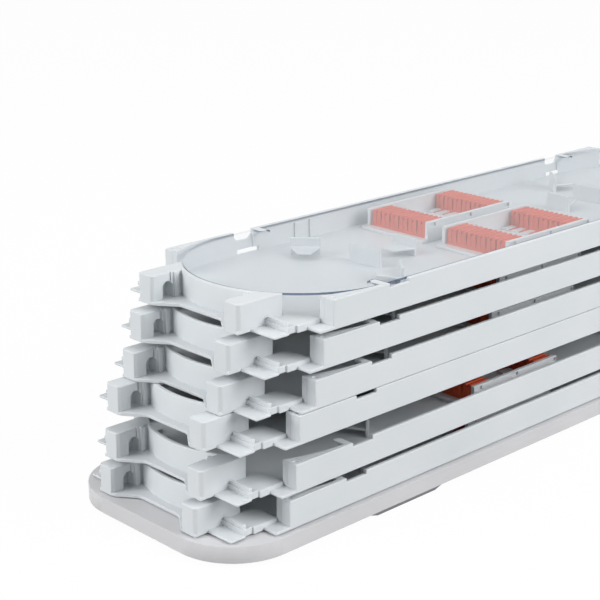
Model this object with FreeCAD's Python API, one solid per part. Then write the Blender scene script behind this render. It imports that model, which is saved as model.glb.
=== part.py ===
"""Stack of six hinged fibre splice trays on a base plate, the top tray under a clear lid.

Frame: X runs along the trays, the fibre ports with tongues at -X and the hinge at +X.
Y runs across them and Z is up. The origin is under the middle of the base plate, on the floor.
A tray is drawn about its own middle, with Z = 0 at its underside, and then put in its place.
"""
import FreeCAD
import Part
import math
import os

V = FreeCAD.Vector

# Stack: each tray's step back along X and its drop below the top tray
TRAY_STEPS = (0.0, 5.7, 10.3, 19.5, 21.4, 25.0)
TRAY_DROPS = (0.0, 15.8, 32.4, 45.6, 66.7, 82.0)
BASE_GAP = 0.5
REST_GAP = 0.05

# Tray shell
TRAY_WIDTH = 109.0
TRAY_HEIGHT = 13.0
BODY_LENGTH = 371.0
PORT_LENGTH = 21.5
STRAIGHT_LENGTH = BODY_LENGTH - 2 * PORT_LENGTH
WALL = 2.0
FLOOR = 1.5
FLANGE_LIP = 4.0
FLANGE_SIDE = 8.0
POST_LENGTH = 5.0
POST_DEPTH = 5.5

# End blocks with their arched sockets, ribs and pegs
BLOCK_REACH = 11.5
BLOCK_IN = 23.0
BLOCK_OUT = 32.7
BLOCK_BEVEL = 1.2
BLOCK_FOOT = 10.0
FOOT_ROUND = 4.0
SOCKET_WIDTH = 5.5
SOCKET_HEIGHT = 7.6
SOCKET_DEPTH = 5.0
SOCKET_BEVEL = 1.8
SOCKET_BACK = 9.0
RIB_GAP = 0.4
RIB_WIDTH = 2.5
RIB_PROUD = 1.2
PEG_RADIUS = 1.8
PEG_FLAT = 0.9
PEG_LENGTH = 4.5
PEG_BACK = 5.5
PEG_HEIGHT = 7.0
LUG_ROOT = 4.0
LUG_TIP = 1.6
LUG_LENGTH = 5.3
LUG_WIDTH = 3.4

# Tongue and sill of a fibre port
TONGUE_THICK = 1.2
TONGUE_BACK = 6.7
TONGUE_WIDTH = 14.4
SILL_BACK = 14.5
SILL_HEIGHT = 3.3
TIE_NOTCH = 4.5
TIE_NOTCH_DEPTH = 1.0
TIE_NOTCH_BACK = 15.0

# Lid clips in the long walls: a notch, a thin panel and a window below it, and a hook beside it
CLIP_LEFT = -117.4
CLIP_RIGHT = 124.1
NOTCH_WIDTH = 12.0
NOTCH_DEPTH = 4.5
NEAR_NOTCH_DEPTH = 1.8
NOTCH_BEVEL = 2.5
PANEL_RECESS = 0.8
WINDOW_START = -3.2
WINDOW_WIDTH = 13.0
WINDOW_HEIGHT = 2.2
HOOK_WIDTH = 4.0
HOOK_REACH = 7.0
HOOK_DROP = 3.0

# Retaining tabs in the fibre bays: an upright with a tongue over the fibres
TAB_WIDTH = 14.4
TAB_WALL = 1.6
TAB_TOP = 10.2
TAB_TONGUE = 11.0
TAB_TIP = 6.0
TAB_LEVEL = 4.6
TAB_THICK = 1.2
SIDE_TAB_RADIUS = 45.0
SIDE_TAB_ANGLE = 42.5
INNER_TAB_X = 61.7
GUIDE_X = 89.0
GUIDE_WIDTH = 20.0

# Lid, which rests on the holders
LID_THICK = 1.0
LID_SINK = 0.2
LID_CLEARANCE = 0.4
LID_REST = 0.05

# Splice holders and combs
HOLDER_LENGTH = 72.0
HOLDER_WIDTH = 41.0
HOLDER_WALL = 2.0
HOLDER_BASE = 1.6
HOLDER_X = -7.0
HOLDER_Y = 25.0
HOLDER_LEDGE = 4.0
COMB_LENGTH = 13.5
COMB_CLEARANCE = 0.4
COMB_SPAN = 62.0
COMB_DROP = 0.3
COMB_SOLE = 1.4
FIN_COUNT = 12
FIN_TOP = 1.7

# Rib under a tray's floor, which rests on the holders of the tray below
RIB_LENGTH = 12.0
RIB_OVERLAP = 1.5

# Base plate and feet
BASE_LENGTH = 450.0
BASE_WIDTH = 114.0
BASE_HEIGHT = 7.5
BASE_CORNER = 30.0
BASE_WALL = 3.0
BASE_DECK = 2.5
HOLLOW_CORNER = 22.0
FOOT_LENGTH = 48.0
FOOT_WIDTH = 9.0
FOOT_HEIGHT = 1.5
FOOT_X = 119.0
FOOT_BEVEL = 5.0

# Hinge bracket and its screws
HINGE_CLEARANCE = 0.05
CHEEK_THICK = 3.5
CHEEK_GAP = 0.5
CHEEK_MARGIN = 9.0
CHEEK_TOP = 6.0
WEB_THICK = 2.5
WEB_BACK = 14.5
WEB_DROP = 12.0
SOLE_THICK = 2.5
SOLE_FRONT = 8.0
SOLE_BACK = 14.0
SCREW_RADIUS = 1.5
SCREW_CLEARANCE = 0.1
SCREW_HEAD_RADIUS = 3.0
SCREW_HEAD_HEIGHT = 1.8
SCREW_INSET = 6.0

# Worked out from the sizes above
HALF_WIDTH = TRAY_WIDTH / 2
HALF_BODY = BODY_LENGTH / 2
HALF_STRAIGHT = STRAIGHT_LENGTH / 2
END_CENTRE = HALF_BODY - HALF_WIDTH
INNER_RADIUS = HALF_WIDTH - WALL
BLOCK_END = HALF_BODY + BLOCK_REACH
FLANGE_END = HALF_BODY + FLANGE_LIP
PEG_X = BLOCK_END - PEG_BACK
LID_TOP = TRAY_HEIGHT - LID_SINK
LID_BOTTOM = LID_TOP - LID_THICK
HOLDER_TOP = LID_BOTTOM - LID_REST
BASE_TOP = FOOT_HEIGHT + BASE_HEIGHT
TRAY_X = [-step for step in TRAY_STEPS]
TRAY_Z = [BASE_TOP + BASE_GAP + TRAY_DROPS[-1] - drop for drop in TRAY_DROPS]
COMB_TOP = HOLDER_TOP - COMB_DROP
CHEEK_IN = BLOCK_OUT + CHEEK_GAP
CHEEK_OUT = CHEEK_IN + CHEEK_THICK
OVERCUT = 1.0
TOUCH = 1e-6


def box(x0, x1, y0, y1, z0, z1):
    """A box between two corners."""
    return Part.makeBox(x1 - x0, y1 - y0, z1 - z0, V(x0, y0, z0))


def prism(points, z0, z1):
    """A plan outline, pulled up from z0 to z1."""
    wire = Part.makePolygon([V(x, y, z0) for x, y in points + points[:1]])
    return Part.Face(wire).extrude(V(0, 0, z1 - z0))


def profile_along_y(points, y0, y1):
    """An outline in X and Z, pulled along Y."""
    wire = Part.makePolygon([V(x, y0, z) for x, z in points + points[:1]])
    return Part.Face(wire).extrude(V(0, y1 - y0, 0))


def profile_along_x(points, x0, x1):
    """An outline in Y and Z, pulled along X."""
    wire = Part.makePolygon([V(x0, y, z) for y, z in points + points[:1]])
    return Part.Face(wire).extrude(V(x1 - x0, 0, 0))


def stadium(centre, radius, z0, z1):
    """A plate with two half-round ends about (-centre, 0) and (centre, 0)."""
    near_left = V(-centre, -radius, z0)
    near_right = V(centre, -radius, z0)
    far_right = V(centre, radius, z0)
    far_left = V(-centre, radius, z0)
    edges = [
        Part.LineSegment(near_left, near_right).toShape(),
        Part.Arc(near_right, V(centre + radius, 0, z0), far_right).toShape(),
        Part.LineSegment(far_right, far_left).toShape(),
        Part.Arc(far_left, V(-centre - radius, 0, z0), near_left).toShape(),
    ]
    return Part.Face(Part.Wire(edges)).extrude(V(0, 0, z1 - z0))


def upright_edges(shape, test):
    """The edges of a shape along Z whose middle passes a test."""
    found = []
    for edge in shape.Edges:
        first, last = edge.Vertexes[0].Point, edge.Vertexes[-1].Point
        along_z = abs(first.x - last.x) < TOUCH and abs(first.y - last.y) < TOUCH
        if along_z and test(edge.CenterOfMass):
            found.append(edge)
    return found


def mirrored(shape, across_x, across_y):
    """A copy of a shape, mirrored to the other end or the other side."""
    if across_x:
        shape = shape.mirror(V(0, 0, 0), V(1, 0, 0))
    if across_y:
        shape = shape.mirror(V(0, 0, 0), V(0, 1, 0))
    return shape


def four_corners(shape):
    """A shape at -X, -Y and its three mirror images."""
    return [mirrored(shape, x, y) for x in (False, True) for y in (False, True)]


def turned(shape):
    """A copy of a shape, turned half round about the middle of the tray."""
    return shape.rotated(V(0, 0, 0), V(0, 0, 1), 180)


def fibre_port():
    """The tongue and the raised sill of the port at -X, -Y, with a notch for a cable tie."""
    edge = -BLOCK_OUT - TONGUE_WIDTH
    tongue = box(-BLOCK_END + TONGUE_BACK, -HALF_STRAIGHT - FLANGE_SIDE, edge, -BLOCK_OUT, 0, TONGUE_THICK)
    sill = box(-BLOCK_END + SILL_BACK, -HALF_STRAIGHT, edge, -BLOCK_OUT, 0, SILL_HEIGHT)
    notch_x = -BLOCK_END + TIE_NOTCH_BACK
    notch = box(notch_x, notch_x + TIE_NOTCH, edge - OVERCUT, edge + TIE_NOTCH_DEPTH, -OVERCUT, TRAY_HEIGHT)
    return tongue.fuse(sill).cut(notch)


def tray_floor():
    """The floor with its lips, the swept feet of the blocks and the ports at -X."""
    step = HALF_STRAIGHT + FLANGE_SIDE
    half = [
        (step, -HALF_WIDTH), (step, -BLOCK_OUT), (BLOCK_END, -BLOCK_OUT),
        (BLOCK_END, -BLOCK_IN), (FLANGE_END, -BLOCK_IN + BLOCK_FOOT),
    ]
    far = [(x, -y) for x, y in reversed(half)]
    right = half + far
    left = [(-x, y) for x, y in reversed(right)]
    floor = prism(right + left, 0, FLOOR)
    swept = upright_edges(floor, lambda p: p.x < -HALF_BODY and abs(p.y) < BLOCK_IN + OVERCUT)
    floor = floor.makeFillet(FOOT_ROUND, swept)
    port = fibre_port()
    return floor.multiFuse([port, mirrored(port, False, True)])


def tray_walls():
    """Round end walls between the blocks, and long walls that end in posts at the ports."""
    ring = stadium(END_CENTRE, HALF_WIDTH, 0, TRAY_HEIGHT)
    ring = ring.cut(stadium(END_CENTRE, INNER_RADIUS, -OVERCUT, TRAY_HEIGHT + OVERCUT))
    ends = ring.common(box(-HALF_BODY, HALF_BODY, -BLOCK_OUT, BLOCK_OUT, 0, TRAY_HEIGHT))
    long_wall = box(-HALF_STRAIGHT, HALF_STRAIGHT, -HALF_WIDTH, -HALF_WIDTH + WALL, 0, TRAY_HEIGHT)
    post = box(-HALF_STRAIGHT, -HALF_STRAIGHT + POST_LENGTH, -HALF_WIDTH, -HALF_WIDTH + POST_DEPTH,
               0, TRAY_HEIGHT)
    walls = [long_wall, mirrored(long_wall, False, True)] + four_corners(post)
    return ends.multiFuse(walls)


def end_block():
    """The block beside the port at -X, -Y, which runs into the round end wall."""
    block = box(-BLOCK_END, -END_CENTRE, -BLOCK_OUT, -BLOCK_IN, 0, TRAY_HEIGHT)
    return block.cut(stadium(END_CENTRE, INNER_RADIUS, -OVERCUT, TRAY_HEIGHT + OVERCUT))


def block_socket():
    """The arched socket that is sunk in the block's inner face."""
    middle = -BLOCK_END + SOCKET_BACK
    half = SOCKET_WIDTH / 2
    top = FLOOR + SOCKET_HEIGHT
    side = [(half, FLOOR), (half, top - SOCKET_BEVEL), (half - SOCKET_BEVEL, top)]
    outline = [(middle + x, z) for x, z in side] + [(middle - x, z) for x, z in reversed(side)]
    return profile_along_y(outline, -BLOCK_IN - SOCKET_DEPTH, -BLOCK_IN + OVERCUT)


def block_rib():
    """The upright rib on the block's inner face, between the socket and the end wall."""
    x = -BLOCK_END + SOCKET_BACK + SOCKET_WIDTH / 2 + RIB_GAP
    return box(x, x + RIB_WIDTH, -BLOCK_IN, -BLOCK_IN + RIB_PROUD, 0, TRAY_HEIGHT)


def port_block():
    """A block at the port end, with eased corners, a socket and a rib."""
    block = end_block()
    corners = upright_edges(block, lambda p: p.x < -BLOCK_END + OVERCUT)
    return block.makeChamfer(BLOCK_BEVEL, corners).fuse(block_rib()).cut(block_socket())


def hinge_peg(side):
    """The hinge peg at +X on the near (-1) or far (1) block, with a flat above and below."""
    peg = Part.makeCylinder(PEG_RADIUS, PEG_LENGTH, V(PEG_X, side * BLOCK_OUT, PEG_HEIGHT),
                            V(0, side, 0))
    reach = BLOCK_OUT + PEG_LENGTH
    return peg.common(box(PEG_X - PEG_RADIUS, PEG_X + PEG_RADIUS, -reach, reach,
                          PEG_HEIGHT - PEG_FLAT, PEG_HEIGHT + PEG_FLAT))


def free_lug():
    """The tapered lug on the far block at the port end."""
    outline = [(BLOCK_OUT, PEG_HEIGHT), (BLOCK_OUT, PEG_HEIGHT - LUG_ROOT),
               (BLOCK_OUT + LUG_LENGTH, PEG_HEIGHT - LUG_TIP), (BLOCK_OUT + LUG_LENGTH, PEG_HEIGHT)]
    return profile_along_x(outline, -PEG_X - LUG_WIDTH / 2, -PEG_X + LUG_WIDTH / 2)


def at_clips(shape):
    """A shape drawn for a lid clip of the far wall about X = 0, at its two places there."""
    return [shape.translated(V(x, 0, 0)) for x in (CLIP_LEFT, CLIP_RIGHT)]


def at_all_clips(shape):
    """A shape drawn for a lid clip, at its places on the far wall and, turned, on the near wall."""
    far = at_clips(shape)
    return far + [turned(copy) for copy in far]


def near_clip_cut():
    """The shallow notch beside a hook of the near wall, drawn as for the far one."""
    half = NOTCH_WIDTH / 2
    return box(-half, half, HALF_WIDTH - WALL - OVERCUT, HALF_WIDTH + OVERCUT,
               TRAY_HEIGHT - NEAR_NOTCH_DEPTH, TRAY_HEIGHT + OVERCUT)


def far_clip_cut():
    """What a clip takes from the far wall: a deep notch, a recess behind its panel and a window."""
    half = NOTCH_WIDTH / 2
    low = TRAY_HEIGHT - NOTCH_DEPTH
    high = TRAY_HEIGHT + OVERCUT
    inner = HALF_WIDTH - WALL
    outline = [(-half, high), (-half, low + NOTCH_BEVEL), (-half + NOTCH_BEVEL, low),
               (half - NOTCH_BEVEL, low), (half, low + NOTCH_BEVEL), (half, high)]
    notch = profile_along_y(outline, inner - OVERCUT, HALF_WIDTH + OVERCUT)
    recess = box(-half, half, inner - OVERCUT, inner + PANEL_RECESS, FLOOR, high)
    window = box(WINDOW_START, WINDOW_START + WINDOW_WIDTH, inner - OVERCUT, HALF_WIDTH + OVERCUT,
                 FLOOR, FLOOR + WINDOW_HEIGHT)
    return notch.multiFuse([recess, window])


def clip_hook():
    """The wedge beside the notch, which reaches in over the tray."""
    inner = HALF_WIDTH - WALL
    root = inner + WALL / 2
    wedge = [(root, TRAY_HEIGHT), (inner - HOOK_REACH, TRAY_HEIGHT), (inner, TRAY_HEIGHT - HOOK_DROP),
             (root, TRAY_HEIGHT - HOOK_DROP)]
    return profile_along_x(wedge, NOTCH_WIDTH / 2, NOTCH_WIDTH / 2 + HOOK_WIDTH)


def retaining_tab():
    """An upright at X = 0 with a tapered tongue towards -X, which keeps the fibres down."""
    half = TAB_WIDTH / 2
    upright = box(0, TAB_WALL, -half, half, 0, TAB_TOP)
    tongue = [(0, -half), (0, half), (-TAB_TONGUE, TAB_TIP / 2), (-TAB_TONGUE, -TAB_TIP / 2)]
    return upright.fuse(prism(tongue, TAB_LEVEL, TAB_LEVEL + TAB_THICK))


def bay_fittings():
    """The tabs of the fibre bay at -X, which point at its middle, and the guide wall between them."""
    fittings = [retaining_tab().translated(V(-INNER_TAB_X, 0, 0))]
    for angle in (-SIDE_TAB_ANGLE, SIDE_TAB_ANGLE):
        tab = retaining_tab().translated(V(SIDE_TAB_RADIUS, 0, 0))
        tab = tab.rotated(V(0, 0, 0), V(0, 0, 1), angle)
        fittings.append(tab.translated(V(-END_CENTRE, 0, 0)))
    fittings.append(box(-GUIDE_X, -GUIDE_X + TAB_WALL, -GUIDE_WIDTH / 2, GUIDE_WIDTH / 2, 0, TAB_TOP))
    return fittings


def stacking_rib(height):
    """The rib under the floor that stands on the inner holder walls of the tray below."""
    half = HOLDER_Y - HOLDER_WIDTH / 2 + HOLDER_WALL + RIB_OVERLAP
    return box(HOLDER_X - RIB_LENGTH / 2, HOLDER_X + RIB_LENGTH / 2, -half, half, -height, 0)


def tray(rib_height):
    """One splice tray, a single moulding."""
    solids = [tray_walls(), stacking_rib(rib_height), free_lug()]
    for far_side in (False, True):
        solids.append(mirrored(port_block(), False, far_side))
        solids.append(mirrored(end_block(), True, far_side))
    solids += [hinge_peg(-1), hinge_peg(1)]
    for fitting in bay_fittings():
        solids += [fitting, mirrored(fitting, True, False)]
    shell = tray_floor().multiFuse(solids)
    for cut in at_clips(far_clip_cut()):
        shell = shell.cut(cut)
    for cut in at_clips(near_clip_cut()):
        shell = shell.cut(turned(cut))
    return shell.multiFuse(at_all_clips(clip_hook())).removeSplitter()


def lid():
    """The clear lid, cut out round the hooks."""
    plate = stadium(END_CENTRE, INNER_RADIUS - LID_CLEARANCE, LID_BOTTOM, LID_TOP)
    start = NOTCH_WIDTH / 2 - LID_CLEARANCE
    cut = box(start, start + HOOK_WIDTH + 2 * LID_CLEARANCE,
              HALF_WIDTH - WALL - HOOK_REACH - LID_CLEARANCE, HALF_WIDTH, 0, TRAY_HEIGHT)
    for place in at_all_clips(cut):
        plate = plate.cut(place)
    return plate


def holder(side):
    """A channel along X for two combs, at the near (-1) or far (1) side, open at its ends."""
    x0 = HOLDER_X - HOLDER_LENGTH / 2
    x1 = HOLDER_X + HOLDER_LENGTH / 2
    y0 = side * HOLDER_Y - HOLDER_WIDTH / 2
    y1 = side * HOLDER_Y + HOLDER_WIDTH / 2
    base = box(x0, x1, y0, y1, FLOOR, FLOOR + HOLDER_BASE)
    walls = [box(x0 + HOLDER_LEDGE, x1 - HOLDER_LEDGE, y, y + HOLDER_WALL, FLOOR, HOLDER_TOP)
             for y in (y0, y1 - HOLDER_WALL)]
    return base.multiFuse(walls).removeSplitter()


def comb(side, end, fin_tops):
    """A comb with tapered fins at one end (-1 or 1) of a holder; fin_tops lists a top's points along Y."""
    half = HOLDER_WIDTH / 2 - HOLDER_WALL - COMB_CLEARANCE
    low = FLOOR + HOLDER_BASE
    pitch = 2 * half / FIN_COUNT
    outline = [(-half, low)]
    for index in range(FIN_COUNT):
        middle = -half + (index + 0.5) * pitch
        if index > 0:
            outline.append((middle - pitch / 2, low + COMB_SOLE))
        outline += [(middle + top, COMB_TOP) for top in fin_tops]
    outline.append((half, low))
    section = [(side * HOLDER_Y + y, z) for y, z in outline]
    x = HOLDER_X + end * (COMB_SPAN - COMB_LENGTH) / 2
    return profile_along_x(section, x - COMB_LENGTH / 2, x + COMB_LENGTH / 2)


def rounded_plate(length, width, corner, z0, z1):
    """A rectangle with round corners, pulled up."""
    plate = box(-length / 2, length / 2, -width / 2, width / 2, z0, z1)
    return plate.makeFillet(corner, upright_edges(plate, lambda p: True))


def hexagon(radius, x, y, z0, z1):
    """A six-sided bar, upright."""
    corners = [(x + radius * math.cos(math.radians(a)), y + radius * math.sin(math.radians(a)))
               for a in range(0, 360, 60)]
    return prism(corners, z0, z1)


def screw_places():
    """Where the bracket's screws stand."""
    front = SOLE_X0 + SCREW_INSET
    back = SOLE_X1 - SCREW_INSET
    side = CHEEK_IN - SCREW_INSET
    return [(x, y) for x in (front, back) for y in (-side, side)]


def base_plate():
    """The base: a deck with a deep rim, open below, with holes for the bracket's screws."""
    shell = rounded_plate(BASE_LENGTH, BASE_WIDTH, BASE_CORNER, FOOT_HEIGHT, BASE_TOP)
    half_length = BASE_LENGTH / 2 - BASE_WALL
    half_width = BASE_WIDTH / 2 - BASE_WALL
    hollow = box(-half_length, half_length, -half_width, half_width, 0, BASE_TOP - BASE_DECK)
    hollow = hollow.makeChamfer(HOLLOW_CORNER, upright_edges(hollow, lambda p: True))
    shell = shell.cut(hollow)
    for x, y in screw_places():
        shell = shell.cut(hexagon(SCREW_RADIUS + SCREW_CLEARANCE, x, y, 0, BASE_TOP + OVERCUT))
    return shell


def base_feet():
    """Four feet under the rim, bevelled at their ends."""
    half = FOOT_LENGTH / 2
    outline = [(-FOOT_X - half + FOOT_BEVEL, 0), (-FOOT_X + half - FOOT_BEVEL, 0),
               (-FOOT_X + half, FOOT_HEIGHT), (-FOOT_X - half, FOOT_HEIGHT)]
    foot = profile_along_y(outline, -BASE_WIDTH / 2, -BASE_WIDTH / 2 + FOOT_WIDTH)
    return Part.makeCompound(four_corners(foot))


def hinge_points():
    """The hinge axis of each tray, in X and Z."""
    return [(x + PEG_X, z + PEG_HEIGHT) for x, z in zip(TRAY_X, TRAY_Z)]


def hinge_bracket():
    """Two cheeks with a square bearing for each peg, a web behind them and a sole on the base plate."""
    holes = hinge_points()
    top_x, top_z = holes[0]
    low_x = holes[-1][0]
    back = top_x + WEB_BACK
    front = [(x - CHEEK_MARGIN, z) for x, z in reversed(holes)]
    outline = [(low_x - CHEEK_MARGIN, BASE_TOP)] + front
    outline += [(top_x - CHEEK_TOP, top_z + CHEEK_TOP), (top_x + CHEEK_TOP, top_z + CHEEK_TOP),
                (back, top_z - WEB_DROP), (back, BASE_TOP)]
    cheek = profile_along_y(outline, -CHEEK_OUT, -CHEEK_IN)
    bearing = PEG_RADIUS + HINGE_CLEARANCE
    for x, z in holes:
        cheek = cheek.cut(box(x - bearing, x + bearing, -CHEEK_OUT - OVERCUT, -CHEEK_IN + OVERCUT,
                              z - bearing, z + bearing))
    web = box(back - WEB_THICK, back, -CHEEK_OUT, CHEEK_OUT, BASE_TOP, top_z - WEB_DROP)
    sole = box(SOLE_X0, SOLE_X1, -CHEEK_OUT, CHEEK_OUT, BASE_TOP, BASE_TOP + SOLE_THICK)
    bracket = cheek.multiFuse([mirrored(cheek, False, True), web, sole]).removeSplitter()
    for x, y in screw_places():
        bracket = bracket.cut(hexagon(SCREW_RADIUS + SCREW_CLEARANCE, x, y, BASE_TOP - OVERCUT,
                                      BASE_TOP + SOLE_THICK + OVERCUT))
    return bracket


def bracket_screws():
    """The four screws that hold the bracket."""
    seat = BASE_TOP + SOLE_THICK
    screws = []
    for x, y in screw_places():
        shank = hexagon(SCREW_RADIUS, x, y, BASE_TOP - BASE_DECK, seat)
        head = hexagon(SCREW_HEAD_RADIUS, x, y, seat, seat + SCREW_HEAD_HEIGHT)
        screws.append(shank.fuse(head))
    return Part.makeCompound(screws)


SOLE_X0 = hinge_points()[-1][0] + SOLE_FRONT
SOLE_X1 = hinge_points()[0][0] + WEB_BACK + SOLE_BACK


def rib_height(index):
    """How far a tray's rib reaches down, to the holders below it or to the base plate."""
    last = index == len(TRAY_Z) - 1
    seat = BASE_TOP if last else TRAY_Z[index + 1] + HOLDER_TOP
    return TRAY_Z[index] - seat - REST_GAP


def save(name, shape):
    """Writes one piece."""
    shape.exportStep("parts/" + name + ".step")


def main():
    os.makedirs("parts", exist_ok=True)
    save("base_plate", base_plate())
    save("base_feet", base_feet())
    save("hinge_bracket", hinge_bracket())
    save("bracket_screws", bracket_screws())
    sides = {"near": -1, "far": 1}
    ends = {"left": -1, "right": 1}
    for index, (x, z) in enumerate(zip(TRAY_X, TRAY_Z)):
        place = V(x, 0, z)
        number = str(index + 1)
        save("tray_" + number, tray(rib_height(index)).translated(place))
        for side_name, side in sides.items():
            save("splice_holder_" + side_name + "_" + number, holder(side).translated(place))
            for end_name, end in ends.items():
                name = "splice_comb_" + side_name + "_" + end_name + "_" + number
                tops = (-FIN_TOP / 2, FIN_TOP / 2) if index == 0 else (0,)
                save(name, comb(side, end, tops).translated(place))
    save("lid", lid().translated(V(TRAY_X[0], 0, TRAY_Z[0])))


main()
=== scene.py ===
import math
import bpy
import bmesh
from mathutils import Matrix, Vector


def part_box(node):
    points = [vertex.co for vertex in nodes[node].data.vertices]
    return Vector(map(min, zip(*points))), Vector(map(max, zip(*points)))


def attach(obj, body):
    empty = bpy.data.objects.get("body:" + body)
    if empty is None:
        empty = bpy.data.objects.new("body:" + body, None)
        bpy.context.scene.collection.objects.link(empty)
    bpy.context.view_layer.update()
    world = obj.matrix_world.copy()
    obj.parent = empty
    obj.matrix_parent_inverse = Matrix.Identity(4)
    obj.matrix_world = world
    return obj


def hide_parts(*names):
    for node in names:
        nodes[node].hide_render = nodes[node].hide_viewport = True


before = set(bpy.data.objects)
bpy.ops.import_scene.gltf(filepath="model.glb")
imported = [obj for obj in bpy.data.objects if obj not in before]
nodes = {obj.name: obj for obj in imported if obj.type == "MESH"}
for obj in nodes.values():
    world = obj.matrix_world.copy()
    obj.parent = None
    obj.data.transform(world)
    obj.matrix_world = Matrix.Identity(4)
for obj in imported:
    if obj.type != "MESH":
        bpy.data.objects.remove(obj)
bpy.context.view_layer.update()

MM = 0.001

# Camera, in millimetres in the part's frame, with the photograph's focal length in pixels
CAMERA_PLACE = (-578.9, -464.2, 289.4)
CAMERA_HEADING = 44.0
CAMERA_PITCH = 17.6
FOCAL_PIXELS = 1500.0
IMAGE_PIXELS = 600.0
SENSOR = 36.0
CLIP_START = 10.0

# Studio: the floor and the lamps' places and sizes in metres, their power in watts, and the floor's
# drop and the paper's mottle in millimetres
FLOOR_SIZE = 8.0
FLOOR_DROP = 0.5
FLOOR_WHITE = 0.95
FLOOR_GLOW = 1.02
PAPER_PALE = "#BABABA"
PAPER_SHADE = "#B4B4B4"
PAPER_MOTTLE = 40.0
PAPER_ROUGHNESS = 0.9
WORLD_LIGHT = 0.12
LAMP_AIM = (0.0, 0.0, 0.05)
LAMPS = (
    ("key", (0.6, -1.8, 1.2), 44, 1.4),
    ("end", (-1.9, 0.8, 1.2), 42, 1.4),
    ("fill", (-1.7, -1.4, 1.0), 4, 0.8),
    ("top", (0.0, 0.0, 2.2), 12, 1.8),
)

# Finishes: slow clouds in the colour, fine grain in the gloss, with their sizes in millimetres
CLOUD_SIZE = 60.0
CLOUD_DETAIL = 3.0
CLOUD_ROUGHNESS = 0.55
CLOUD_RANGE = (0.3, 0.7)
GRAIN_DETAIL = 2.0
GRAIN_STRENGTH = 0.25
GLOSS_SPREAD = 0.06
HAZE_SIZE = 90.0
HAZE_DETAIL = 2.0
HAZE_SPREAD = 0.03
PC_INDEX = 1.58
TURNING_SIZE = 0.6
TURNED_GLOSS = (0.22, 0.4)

# Trays, counted from the top
TOP_TRAY = (1,)
LOWER_TRAYS = (2, 3, 4, 5, 6)

# Moulded edges, in millimetres and degrees
EDGE_WELD = 0.01
EDGE_SEGMENTS = 2
TRAY_EDGE = 0.5
HOLDER_EDGE = 0.3
BASE_EDGE = 1.2
EDGE_ANGLE = 35.0
FLAT_ANGLE = 0.5
STRIP_SHARE = 2.3
STRIP_LIMIT = 1000.0

# A face of the lid is level where its normal rises more than this, and otherwise its cut edge
LEVEL_LIMIT = 0.5

# Small recesses, ribs and webs of a tray, measured from its left end, its middle or its underside
OVERCUT = 1.0
ROUND_SIDES = 20
ROUND_STEPS = 3
DIMPLE_X = 161.5
DIMPLE_Y = 51.6
DIMPLE_RADIUS = 1.2
DIMPLE_DEPTH = 0.5
BLOCK_FACE = 23.0
SLIT_BACK = 10.2
SLIT_WIDTH = 0.5
SLIT_DEPTH = 1.2
SLIT_HEIGHT = 4.0
TRAY_HEIGHT = 13.0
BAR_BACK = 15.9
BAR_Y = 39.4
BAR_FOOT = 2.2
BAR_WIDTH = 1.6
BAR_LENGTH = 12.0
BAR_HEIGHT = 2.8
BAR_ROUND = 0.6
RIB_X = (-83.6, -73.4)
RIB_Y = 52.2
RIB_FOOT = 1.5
RIB_WIDTH = 0.9
RIB_DEPTH = 1.2
RIB_HEIGHT = 9.5
RIB_ROUND = 0.2
WEB_START = 163.9
WEB_END = 131.0
WEB_INNER = 46.3
WEB_SIDES = 12
WEB_FOOT = 1.0
WEB_SINK = 0.05
POST_END = 159.1
POST_INNER = 49.1
WALL_INNER = 52.6

# Pits in the outer faces of a holder's walls, measured from its middle and down from its top
PIT_X = (-28.5, -1.0, 29.0)
PIT_WIDTH = 4.6
PIT_DEPTH = 1.1
PIT_HIGH = 0.8
PIT_LOW = 2.6

# Combs: fins in pairs on a sole, with a seat between the two fins of each pair. The fins are one
# step shorter than the sole, and the seats two
SEATS = 6
FIN_FOOT = 2.95
FIN_TOP = 1.6
FIN_ROUND = 0.6
SEAT_FOOT = 3.4
SEAT_TOP = 2.8
SEAT_RISE = 0.78
SOLE_RISE = 1.4
SOLE_ROUND = 0.15
COMB_STEP = 0.5

# Fingers on the holder's floor beside a comb, with the comb's own runners between them
FINGER_LENGTH = 8.0
FINGER_WIDTH = 3.6
FINGER_RISE = 0.8
FINGER_ROUND = 0.35
RUNNER_LENGTH = 6.5
RUNNER_WIDTH = 1.3
RUNNER_RISE = 0.5


def linear(code):
    """An sRGB hex colour as a linear one."""
    parts = [int(code[i:i + 2], 16) / 255 for i in (1, 3, 5)]
    rgb = [c / 12.92 if c <= 0.04045 else ((c + 0.055) / 1.055) ** 2.4 for c in parts]
    return (*rgb, 1.0)


def add(tree, kind, links=(), values=(), **settings):
    """Adds a node to a tree, with its settings, its inputs' values and the links into it."""
    node = tree.nodes.new(kind)
    for key, value in settings.items():
        setattr(node, key, value)
    for key, value in dict(values).items():
        node.inputs[key].default_value = value
    for key, source in dict(links).items():
        tree.links.new(source, node.inputs[key])
    return node


def new_material(name):
    """An empty material with its shader and the object coordinates in metres."""
    material = bpy.data.materials.new(name)
    material.use_nodes = True
    tree = material.node_tree
    shader = tree.nodes["Principled BSDF"]
    place = add(tree, "ShaderNodeTexCoord").outputs["Object"]
    return material, tree, shader, place


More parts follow.
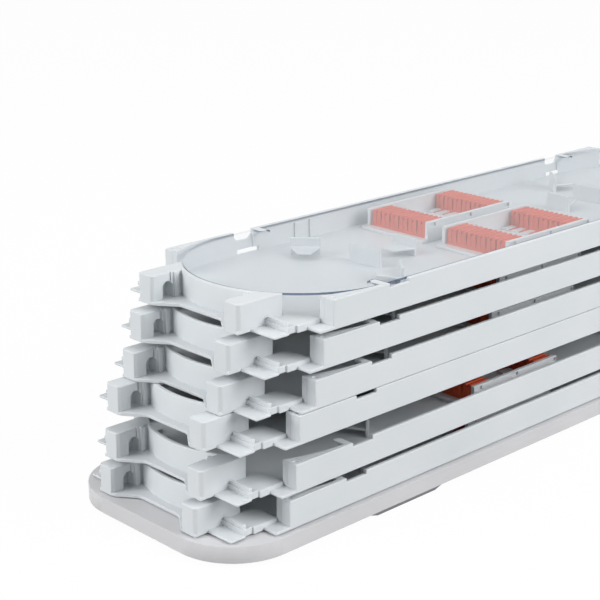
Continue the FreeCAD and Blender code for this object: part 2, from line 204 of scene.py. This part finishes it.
def moulded(name, pale, shade, roughness, grain, depth, cloud=CLOUD_SIZE):
    """Moulded plastic: slow flow clouds in the colour, and a fine spark-eroded grain in the gloss."""
    material, tree, shader, place = new_material(name)
    clouds = add(tree, "ShaderNodeTexNoise", {"Vector": place},
                 {"Scale": 1 / (cloud * MM), "Detail": CLOUD_DETAIL, "Roughness": CLOUD_ROUGHNESS})
    ramp = add(tree, "ShaderNodeValToRGB", {"Fac": clouds.outputs["Fac"]})
    for stop, at, colour in zip(ramp.color_ramp.elements, CLOUD_RANGE, (shade, pale)):
        stop.position = at
        stop.color = linear(colour)
    tree.links.new(ramp.outputs["Color"], shader.inputs["Base Color"])
    grains = add(tree, "ShaderNodeTexNoise", {"Vector": place},
                 {"Scale": 1 / (grain * MM), "Detail": GRAIN_DETAIL})
    gloss = add(tree, "ShaderNodeMapRange", {"Value": grains.outputs["Fac"]},
                {"To Min": roughness - GLOSS_SPREAD, "To Max": roughness + GLOSS_SPREAD})
    tree.links.new(gloss.outputs["Result"], shader.inputs["Roughness"])
    bump = add(tree, "ShaderNodeBump", {"Height": grains.outputs["Fac"]},
               {"Strength": GRAIN_STRENGTH, "Distance": depth * MM})
    tree.links.new(bump.outputs["Normal"], shader.inputs["Normal"])
    return material


def clear_sheet(name, tint, alpha, roughness, inside=1.0):
    """Clear polycarbonate with a tint and a gloss. On the cut edge the tint is partly painted
    reflection. Seen from inside, it covers a share of its alpha.
    """
    material, tree, shader, place = new_material(name)
    cloud = add(tree, "ShaderNodeTexNoise", {"Vector": place},
                {"Scale": 1 / (HAZE_SIZE * MM), "Detail": HAZE_DETAIL})
    haze = add(tree, "ShaderNodeMapRange", {"Value": cloud.outputs["Fac"]},
               {"To Min": alpha - HAZE_SPREAD, "To Max": alpha + HAZE_SPREAD})
    back = add(tree, "ShaderNodeNewGeometry").outputs["Backfacing"]
    share = add(tree, "ShaderNodeMapRange", {"Value": back}, {"To Min": 1.0, "To Max": inside})
    shown = add(tree, "ShaderNodeMath", {0: haze.outputs["Result"], 1: share.outputs["Result"]},
                operation="MULTIPLY")
    tree.links.new(shown.outputs["Value"], shader.inputs["Alpha"])
    # On the cut edge this colour is partly painted reflection, over the sheet's own tint
    shader.inputs["Base Color"].default_value = linear(tint)
    shader.inputs["Roughness"].default_value = roughness
    shader.inputs["IOR"].default_value = PC_INDEX
    return material


def steel(name, colour):
    """Zinc-plated steel, with faint turning marks in the gloss."""
    material, tree, shader, place = new_material(name)
    marks = add(tree, "ShaderNodeTexNoise", {"Vector": place}, {"Scale": 1 / (TURNING_SIZE * MM)})
    gloss = add(tree, "ShaderNodeMapRange", {"Value": marks.outputs["Fac"]},
                {"To Min": TURNED_GLOSS[0], "To Max": TURNED_GLOSS[1]})
    tree.links.new(gloss.outputs["Result"], shader.inputs["Roughness"])
    shader.inputs["Base Color"].default_value = linear(colour)
    shader.inputs["Metallic"].default_value = 1.0
    return material


# White ABS, moulded in a lightly textured tool: bright, satin, faintly cool
WHITE_ABS = moulded("white_abs", "#D2D6D9", "#CCD1D4", roughness=0.42, grain=0.5, depth=0.02)
# The same ABS on the small holders, a touch glossier
HOLDER_ABS = moulded("white_abs_gloss", "#D6D7DA", "#CFD3D6", roughness=0.36, grain=0.4, depth=0.015)
# Orange thermoplastic elastomer: matt and slightly waxy
ORANGE_TPE = moulded("orange_tpe", "#D4552B", "#C94B25", roughness=0.5, grain=0.4, depth=0.02,
                     cloud=15.0)
# Pale grey ABS of the base plate, with a coarser grain
GREY_ABS = moulded("grey_abs", "#CDCDCF", "#C6C6C8", roughness=0.48, grain=0.7, depth=0.03)
# Dark grey rubber of the feet
FOOT_RUBBER = moulded("foot_rubber", "#77777A", "#6A6A6D", roughness=0.6, grain=0.6, depth=0.03,
                      cloud=20.0)
# Clear polycarbonate, sawn from sheet: the face is cool and clear. The cut edge is deep blue: partly
# the sheet's own tint seen along its length, partly painted reflection of the light that the clear edge
# bends and mirrors
CLEAR_PC = clear_sheet("clear_polycarbonate", "#DCE4EA", alpha=0.15, roughness=0.05)
PC_EDGE_TINT_AND_REFLECTION = clear_sheet("polycarbonate_edge_tint_and_painted_reflection", "#3C5378", alpha=0.8, roughness=0.25, inside=0.15)
# Zinc-plated steel of the bracket's screws
ZINC_STEEL = steel("zinc_plated_steel", "#C9CACC")


def paint(piece, *materials):
    """Puts materials in a piece's slots."""
    piece.data.materials.clear()
    for material in materials:
        piece.data.materials.append(material)


def ease_edges(piece, width, limit="ANGLE"):
    """Rounds a moulding's sharp edges."""
    bevel = piece.modifiers.new("edges", "BEVEL")
    bevel.width = width * MM
    bevel.segments = EDGE_SEGMENTS
    bevel.limit_method = limit
    bevel.angle_limit = math.radians(EDGE_ANGLE)
    bevel.use_clamp_overlap = limit == "ANGLE"
    bevel.harden_normals = True


def weld(piece):
    """Joins the loose triangles of a node and its flat faces, by modifiers."""
    joint = piece.modifiers.new("weld", "WELD")
    joint.merge_threshold = EDGE_WELD * MM
    flat = piece.modifiers.new("flat_faces", "DECIMATE")
    flat.decimate_type = "DISSOLVE"
    flat.angle_limit = math.radians(FLAT_ANGLE)


def strip_width(edge, face):
    """How far it is from an edge across a face to the face's next corner beside it."""
    start = edge.verts[0].co
    along = edge.verts[1].co - start
    length = along.length
    along.normalize()
    nearest = STRIP_LIMIT * MM
    for corner in face.verts:
        offset = corner.co - start
        run = offset.dot(along)
        across = (offset - along * run).length
        if across > EDGE_WELD * MM and -nearest < run < length + nearest:
            beside = max(0.0, -run, run - length)
            nearest = min(nearest, math.hypot(across, beside))
    return nearest


def weigh_edges(mesh, width):
    """Marks a mesh's outer edges for rounding, less where a face beside them is narrow."""
    work = bmesh.new()
    work.from_mesh(mesh)
    bmesh.ops.remove_doubles(work, verts=work.verts, dist=EDGE_WELD * MM)
    bmesh.ops.dissolve_limit(work, angle_limit=math.radians(FLAT_ANGLE), verts=work.verts,
                             edges=work.edges)
    weight = work.edges.layers.float.new("bevel_weight_edge")
    for edge in work.edges:
        if edge.calc_face_angle_signed(0.0) > math.radians(EDGE_ANGLE):
            room = min(strip_width(edge, face) for face in edge.link_faces)
            edge[weight] = min(1.0, room / (STRIP_SHARE * width * MM))
    work.to_mesh(mesh)
    work.free()


def dress_cad_nodes():
    """Gives the mouldings that stay as they are their finish and their eased edges."""
    finishes = {
        "base_plate": (GREY_ABS, BASE_EDGE),
        "hinge_bracket": (GREY_ABS, HOLDER_EDGE),
        "base_feet": (FOOT_RUBBER, HOLDER_EDGE),
        "bracket_screws": (ZINC_STEEL, HOLDER_EDGE),
    }
    for name, node in nodes.items():
        for start, (finish, width) in finishes.items():
            if name.startswith(start):
                paint(node, finish)
                weld(node)
                ease_edges(node, width)


def box_of(name):
    """The two far corners of a node's box."""
    low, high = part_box(name)
    return Vector(low), Vector(high)


def merged_copy(node_name, piece_name):
    """A new piece with a welded copy of a node's mesh."""
    mesh = nodes[node_name].data.copy()
    work = bmesh.new()
    work.from_mesh(mesh)
    bmesh.ops.remove_doubles(work, verts=work.verts, dist=EDGE_WELD * MM)
    work.to_mesh(mesh)
    work.free()
    piece = bpy.data.objects.new(piece_name, mesh)
    bpy.context.collection.objects.link(piece)
    return piece


def cutter(boxes, rounds):
    """A mesh to cut with: boxes by two corners, and upright plugs by centre, radius and height."""
    work = bmesh.new()
    for low, high in boxes:
        made = bmesh.ops.create_cube(work, size=1.0)["verts"]
        middle = (Vector(low) + Vector(high)) / 2
        bmesh.ops.scale(work, vec=Vector(high) - Vector(low), verts=made)
        bmesh.ops.translate(work, vec=middle, verts=made)
    for centre, radius, height in rounds:
        made = bmesh.ops.create_cone(work, cap_ends=True, segments=ROUND_SIDES, radius1=radius,
                                     radius2=radius, depth=height)["verts"]
        bmesh.ops.translate(work, vec=centre, verts=made)
    mesh = bpy.data.meshes.new("cutter")
    work.to_mesh(mesh)
    work.free()
    tool = bpy.data.objects.new("cutter", mesh)
    bpy.context.collection.objects.link(tool)
    return tool


def cut_from(piece, boxes, rounds):
    """Takes small recesses out of a piece."""
    tool = cutter(boxes, rounds)
    cut = piece.modifiers.new("recesses", "BOOLEAN")
    cut.object = tool
    cut.solver = "EXACT"
    graph = bpy.context.evaluated_depsgraph_get()
    piece.data = bpy.data.meshes.new_from_object(piece.evaluated_get(graph))
    piece.modifiers.clear()
    bpy.data.objects.remove(tool)


def recessed_piece(node_name, piece_name, finish, edge, boxes, rounds):
    """A moulding with recesses cut from it and its outer edges eased."""
    piece = merged_copy(node_name, piece_name)
    paint(piece, finish)
    cut_from(piece, boxes, rounds)
    weigh_edges(piece.data, edge)
    ease_edges(piece, edge, "WEIGHT")
    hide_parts(node_name)
    return piece


def tray_shell(number, body):
    """A tray with its small recesses: dimples in the posts and a slit over each socket."""
    name = "tray_" + str(number)
    low, high = box_of(name)
    middle = (low.x + high.x) / 2
    top = high.z
    # A dimple's plug is centred on the post's top, so half of its height cuts
    rounds = []
    for x in (-DIMPLE_X, DIMPLE_X):
        for y in (-DIMPLE_Y, DIMPLE_Y):
            centre = Vector((middle + x * MM, y * MM, top))
            rounds.append((centre, DIMPLE_RADIUS * MM, DIMPLE_DEPTH * 2 * MM))
    boxes = []
    slit_x = low.x + SLIT_BACK * MM
    for side in (-1, 1):
        across = sorted((side * (BLOCK_FACE - OVERCUT) * MM, side * (BLOCK_FACE + SLIT_DEPTH) * MM))
        start = (slit_x, across[0], top - SLIT_HEIGHT * MM)
        end = (slit_x + SLIT_WIDTH * MM, across[1], top + OVERCUT * MM)
        boxes.append((start, end))
    piece = recessed_piece(name, "tray_shell_" + str(number), WHITE_ABS, TRAY_EDGE, boxes, rounds)
    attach(piece, body)


def splice_holder(name, body):
    """A holder with small pits in the outer faces of its two walls."""
    low, high = box_of(name)
    middle = (low.x + high.x) / 2
    boxes = []
    for x in PIT_X:
        for face, inward in ((low.y, 1), (high.y, -1)):
            across = sorted((face - inward * OVERCUT * MM, face + inward * PIT_DEPTH * MM))
            start = (middle + (x - PIT_WIDTH / 2) * MM, across[0], high.z - PIT_LOW * MM)
            end = (middle + (x + PIT_WIDTH / 2) * MM, across[1], high.z - PIT_HIGH * MM)
            boxes.append((start, end))
    pitted = name.replace("splice", "pitted")
    piece = recessed_piece(name, pitted, HOLDER_ABS, HOLDER_EDGE, boxes, [])
    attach(piece, body)


def tray_ribs(name, numbers, body):
    """The round bar at the root of each tongue, and two thin ribs inside the far wall."""
    bars = []
    ribs = []
    for number in numbers:
        low, high = box_of("tray_" + str(number))
        middle = (low.x + high.x) / 2
        floor = high.z - TRAY_HEIGHT * MM
        for side in (-1, 1):
            bars.append((low.x + BAR_BACK * MM, side * BAR_Y * MM, floor + BAR_FOOT * MM))
        for x in RIB_X:
            ribs.append((middle + x * MM, RIB_Y * MM, floor + RIB_FOOT * MM))
    piece = joined_piece(name, [
        bar_rows(bars, WHITE_ABS, BAR_WIDTH, BAR_LENGTH, BAR_LENGTH, BAR_HEIGHT, BAR_ROUND),
        bar_rows(ribs, WHITE_ABS, RIB_WIDTH, RIB_DEPTH, RIB_DEPTH, RIB_HEIGHT, RIB_ROUND)], body)


def web_plan():
    """The plan of a web at +X, +Y: round the post's inner corner and back on a curve to the wall."""
    run = WEB_START - WEB_END
    rise = WALL_INNER - WEB_INNER
    radius = (run * run + rise * rise) / (2 * rise)
    plan = [(WEB_END, WALL_INNER), (POST_END, WALL_INNER), (POST_END, POST_INNER),
            (WEB_START, POST_INNER)]
    for step in range(WEB_SIDES):
        x = run * (1 - step / WEB_SIDES)
        plan.append((WEB_END + x, WALL_INNER - radius + math.sqrt(radius * radius - x * x)))
    return plan


def corner_webs(name, numbers, body):
    """The webs that bring a tray's round inside out to its straight walls, behind the four posts."""
    work = bmesh.new()
    for number in numbers:
        low, high = box_of("tray_" + str(number))
        middle = (low.x + high.x) / 2
        foot = high.z - (TRAY_HEIGHT - WEB_FOOT) * MM
        for x_side in (-1, 1):
            for y_side in (-1, 1):
                corners = [work.verts.new((middle + x_side * x * MM, y_side * y * MM, foot))
                           for x, y in web_plan()]
                foot_face = work.faces.new(corners)
                grown = bmesh.ops.extrude_face_region(work, geom=[foot_face])["geom"]
                lifted = [v for v in grown if isinstance(v, bmesh.types.BMVert)]
                bmesh.ops.translate(work, vec=(0, 0, high.z - WEB_SINK * MM - foot), verts=lifted)
    bmesh.ops.recalc_face_normals(work, faces=work.faces)
    mesh = bpy.data.meshes.new(name)
    work.to_mesh(mesh)
    work.free()
    piece = bpy.data.objects.new(name, mesh)
    bpy.context.collection.objects.link(piece)
    paint(piece, WHITE_ABS)
    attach(piece, body)


def bar_row_tree():
    """Bars along X with rounded tops, side by side along Y in a row at each point that it is given."""
    tree = bpy.data.node_groups.new("bar_rows", "GeometryNodeTree")
    tree.interface.new_socket("Geometry", in_out="INPUT", socket_type="NodeSocketGeometry")
    for label in ("Length", "Foot width", "Top width", "Height", "Round", "Pitch"):
        tree.interface.new_socket(label, in_out="INPUT", socket_type="NodeSocketFloat")
    tree.interface.new_socket("Count", in_out="INPUT", socket_type="NodeSocketInt")
    tree.interface.new_socket("Finish", in_out="INPUT", socket_type="NodeSocketMaterial")
    tree.interface.new_socket("Geometry", in_out="OUTPUT", socket_type="NodeSocketGeometry")
    given = add(tree, "NodeGroupInput").outputs

    # One bar: its section, upside down in the plane across the path, swept from end to end
    section = add(tree, "GeometryNodeCurvePrimitiveQuadrilateral",
                  {"Bottom Width": given["Top width"], "Top Width": given["Foot width"],
                   "Height": given["Height"]}, {"Offset": 0.0}, mode="TRAPEZOID")
    rounded = add(tree, "GeometryNodeFilletCurve",
                  {"Curve": section.outputs["Curve"], "Radius": given["Round"]},
                  {"Count": ROUND_STEPS, "Limit Radius": True}, mode="POLY")
    half = add(tree, "ShaderNodeMath", {0: given["Length"]}, {1: 0.5}, operation="MULTIPLY")
    end = add(tree, "ShaderNodeCombineXYZ", {"X": half.outputs["Value"]})
    start = add(tree, "ShaderNodeVectorMath", {0: end.outputs["Vector"]}, {"Scale": -1.0},
                operation="SCALE")
    path = add(tree, "GeometryNodeCurvePrimitiveLine",
               {"Start": start.outputs["Vector"], "End": end.outputs["Vector"]})
    bar = add(tree, "GeometryNodeCurveToMesh",
              {"Curve": path.outputs["Curve"], "Profile Curve": rounded.outputs["Curve"]},
              {"Fill Caps": True})
    rise = add(tree, "ShaderNodeMath", {0: given["Height"]}, {1: 0.5}, operation="MULTIPLY")
    lift = add(tree, "ShaderNodeCombineXYZ", {"Z": rise.outputs["Value"]})
    standing = add(tree, "GeometryNodeTransform",
                   {"Geometry": bar.outputs["Mesh"], "Translation": lift.outputs["Vector"]})

    # The row, centred on its point
    steps = add(tree, "ShaderNodeMath", {0: given["Count"]}, {1: 1.0}, operation="SUBTRACT")
    span = add(tree, "ShaderNodeMath", {0: steps.outputs["Value"], 1: given["Pitch"]},
               operation="MULTIPLY")
    back = add(tree, "ShaderNodeMath", {0: span.outputs["Value"]}, {1: -0.5}, operation="MULTIPLY")
    first = add(tree, "ShaderNodeCombineXYZ", {"Y": back.outputs["Value"]})
    step = add(tree, "ShaderNodeCombineXYZ", {"Y": given["Pitch"]})
    places = add(tree, "GeometryNodeMeshLine",
                 {"Count": given["Count"], "Start Location": first.outputs["Vector"],
                  "Offset": step.outputs["Vector"]}, mode="OFFSET")
    row = add(tree, "GeometryNodeInstanceOnPoints",
              {"Points": places.outputs["Mesh"], "Instance": standing.outputs["Geometry"]})
    rows = add(tree, "GeometryNodeInstanceOnPoints",
               {"Points": given["Geometry"], "Instance": row.outputs["Instances"]})
    real = add(tree, "GeometryNodeRealizeInstances", {"Geometry": rows.outputs["Instances"]})
    finished = add(tree, "GeometryNodeSetMaterial",
                   {"Geometry": real.outputs["Geometry"], "Material": given["Finish"]})
    add(tree, "NodeGroupOutput", {"Geometry": finished.outputs["Geometry"]})
    return tree


BAR_ROWS = bar_row_tree()


def bar_rows(places, finish, length, foot, top, height, ease, count=1, pitch=0.0):
    """A plain mesh with a row of bars at each place. Places are in metres, sizes in millimetres."""
    points = bpy.data.meshes.new("row_places")
    points.from_pydata(places, [], [])
    rows = bpy.data.objects.new("rows", points)
    bpy.context.collection.objects.link(rows)
    modifier = rows.modifiers.new("rows", "NODES")
    modifier.node_group = BAR_ROWS
    sizes = {"Length": length * MM, "Foot width": foot * MM, "Top width": top * MM,
             "Height": height * MM, "Round": ease * MM, "Pitch": pitch * MM,
             "Count": count, "Finish": finish}
    for item in BAR_ROWS.interface.items_tree:
        if item.in_out == "INPUT" and item.name in sizes:
            modifier[item.identifier] = sizes[item.name]
    graph = bpy.context.evaluated_depsgraph_get()
    mesh = bpy.data.meshes.new_from_object(rows.evaluated_get(graph))
    bpy.data.objects.remove(rows)
    return mesh


def joined_piece(name, meshes, body):
    """One piece of several meshes, each with its own finish, carried by a body."""
    work = bmesh.new()
    finishes = []
    for mesh in meshes:
        count = len(work.faces)
        work.from_mesh(mesh)
        work.faces.ensure_lookup_table()
        finish = mesh.materials[-1]
        if finish not in finishes:
            finishes.append(finish)
        for face in work.faces[count:]:
            face.material_index = finishes.index(finish)
            face.smooth = False
    whole = bpy.data.meshes.new(name)
    work.to_mesh(whole)
    work.free()
    for finish in finishes:
        whole.materials.append(finish)
    piece = bpy.data.objects.new(name, whole)
    bpy.context.collection.objects.link(piece)
    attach(piece, body)
    return piece


def splice_combs(name, numbers, body):
    """The combs of some trays, the runners in front of them and the fingers between those."""
    names = [n for n in nodes if n.startswith("splice_comb") and int(n[-1]) in numbers]
    combs = []
    inner_ends = []
    for comb in names:
        low, high = box_of(comb)
        middle = (low + high) / 2
        combs.append((middle.x, middle.y, low.z))
        inner_ends.append((high.x, 1) if "left" in comb else (low.x, -1))
    # All combs are of one size
    length, width, height = [v / MM for v in high - low]
    pitch = width / SEATS
    meshes = [
        bar_rows(combs, ORANGE_TPE, length - COMB_STEP, FIN_FOOT, FIN_TOP, height, FIN_ROUND,
                 2 * SEATS, pitch / 2),
        bar_rows(combs, ORANGE_TPE, length - 2 * COMB_STEP, SEAT_FOOT, SEAT_TOP, height * SEAT_RISE,
                 SOLE_ROUND, SEATS, pitch),
        bar_rows(combs, ORANGE_TPE, length, width, width, SOLE_RISE, SOLE_ROUND),
    ]
    combs_piece = joined_piece(name, meshes, body)
    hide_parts(*names)

    fingers = []
    runners = []
    for (_, y, z), (end, way) in zip(combs, inner_ends):
        fingers.append((end + way * FINGER_LENGTH / 2 * MM, y, z))
        runners.append((end + way * RUNNER_LENGTH / 2 * MM, y, z))
    finger_piece = joined_piece(name.replace("combs", "fingers"), [
        bar_rows(fingers, HOLDER_ABS, FINGER_LENGTH, FINGER_WIDTH, FINGER_WIDTH, FINGER_RISE,
                 FINGER_ROUND, SEATS, pitch)], body)
    runner_piece = joined_piece(name.replace("combs", "runners"), [
        bar_rows(runners, ORANGE_TPE, RUNNER_LENGTH, RUNNER_WIDTH, RUNNER_WIDTH, RUNNER_RISE,
                 SOLE_ROUND, SEATS - 1, pitch)], body)


def clear_lid():
    """The lid: clear faces, and a deep blue sawn edge whose colour is partly the sheet's tint and
    partly painted reflection.
    """
    piece = merged_copy("lid", "clear_lid")
    paint(piece, CLEAR_PC, PC_EDGE_TINT_AND_REFLECTION)
    for face in piece.data.polygons:
        # Upright faces take the cut edge's colour, which is partly painted reflection
        face.material_index = 0 if abs(face.normal.z) > LEVEL_LIMIT else 1
    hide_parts("lid")
    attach(piece, "lid_body")


def seen_share(tree):
    """1 for what the camera sees straight, mirrored or through something clear, and 0 for light."""
    path = add(tree, "ShaderNodeLightPath").outputs
    mirrored = add(tree, "ShaderNodeMath", {0: path["Is Camera Ray"], 1: path["Is Glossy Ray"]},
                   operation="MAXIMUM")
    return add(tree, "ShaderNodeMath", {0: mirrored.outputs["Value"], 1: path["Is Transmission Ray"]},
               operation="MAXIMUM").outputs["Value"]


def studio_floor():
    """A pale floor that looks nearly white and still takes the object's shadow."""
    bpy.ops.mesh.primitive_plane_add(size=FLOOR_SIZE, location=(0, 0, -FLOOR_DROP * MM))
    floor = bpy.context.object
    floor.name = "studio_floor"
    material, tree, shader, place = new_material("studio_paper")
    paper = add(tree, "ShaderNodeTexNoise", {"Vector": place},
                {"Scale": 1 / (PAPER_MOTTLE * MM)})
    tone = add(tree, "ShaderNodeValToRGB", {"Fac": paper.outputs["Fac"]})
    tone.color_ramp.elements[0].color = linear(PAPER_SHADE)
    tone.color_ramp.elements[1].color = linear(PAPER_PALE)
    tree.links.new(tone.outputs["Color"], shader.inputs["Base Color"])
    shader.inputs["Roughness"].default_value = PAPER_ROUGHNESS
    white = add(tree, "ShaderNodeEmission", (), {"Strength": FLOOR_GLOW})
    share = add(tree, "ShaderNodeMath", {0: seen_share(tree)}, {1: FLOOR_WHITE}, operation="MULTIPLY")
    both = add(tree, "ShaderNodeMixShader", {0: share.outputs["Value"], 1: shader.outputs["BSDF"],
                                             2: white.outputs["Emission"]})
    tree.links.new(both.outputs["Shader"], tree.nodes["Material Output"].inputs["Surface"])
    paint(floor, material)


def studio_light():
    """A white surround that lights the object softly, and the lamps."""
    world = bpy.data.worlds.new("studio")
    bpy.context.scene.world = world
    world.use_nodes = True
    tree = world.node_tree
    light = tree.nodes["Background"]
    light.inputs["Color"].default_value = (1, 1, 1, 1)
    light.inputs["Strength"].default_value = WORLD_LIGHT
    white = add(tree, "ShaderNodeBackground", (), {"Color": (1, 1, 1, 1), "Strength": 1.0})
    both = add(tree, "ShaderNodeMixShader", {0: seen_share(tree), 1: light.outputs["Background"],
                                             2: white.outputs["Background"]})
    tree.links.new(both.outputs["Shader"], tree.nodes["World Output"].inputs["Surface"])
    for name, place, power, size in LAMPS:
        lamp = bpy.data.lights.new(name, "AREA")
        lamp.energy = power
        lamp.size = size
        holder = bpy.data.objects.new(name, lamp)
        bpy.context.collection.objects.link(holder)
        holder.location = place
        aim = Vector(LAMP_AIM) - Vector(place)
        holder.rotation_euler = aim.to_track_quat("-Z", "Y").to_euler()


def photo_camera():
    """The photograph's camera."""
    data = bpy.data.cameras.new("photo_camera")
    data.sensor_width = SENSOR
    data.lens = FOCAL_PIXELS / IMAGE_PIXELS * SENSOR
    data.clip_start = CLIP_START * MM
    camera = bpy.data.objects.new("photo_camera", data)
    bpy.context.collection.objects.link(camera)
    camera.location = [v * MM for v in CAMERA_PLACE]
    camera.rotation_euler = (math.radians(90 - CAMERA_PITCH), 0, math.radians(-CAMERA_HEADING))
    bpy.context.scene.camera = camera


dress_cad_nodes()
for body, numbers in (("top_tray", TOP_TRAY), ("stack", LOWER_TRAYS)):
    for number in numbers:
        tray_shell(number, body)
        for side_name in ("near", "far"):
            splice_holder("splice_holder_" + side_name + "_" + str(number), body)
tray_ribs("tray_ribs_top", TOP_TRAY, "top_tray")
tray_ribs("tray_ribs_stack", LOWER_TRAYS, "stack")
corner_webs("corner_webs_top", TOP_TRAY, "top_tray")
corner_webs("corner_webs_stack", LOWER_TRAYS, "stack")
splice_combs("splice_combs_top", TOP_TRAY, "top_tray")
splice_combs("splice_combs_stack", LOWER_TRAYS, "stack")
clear_lid()
studio_floor()
studio_light()
photo_camera()
bpy.context.scene.view_settings.view_transform = "Standard"
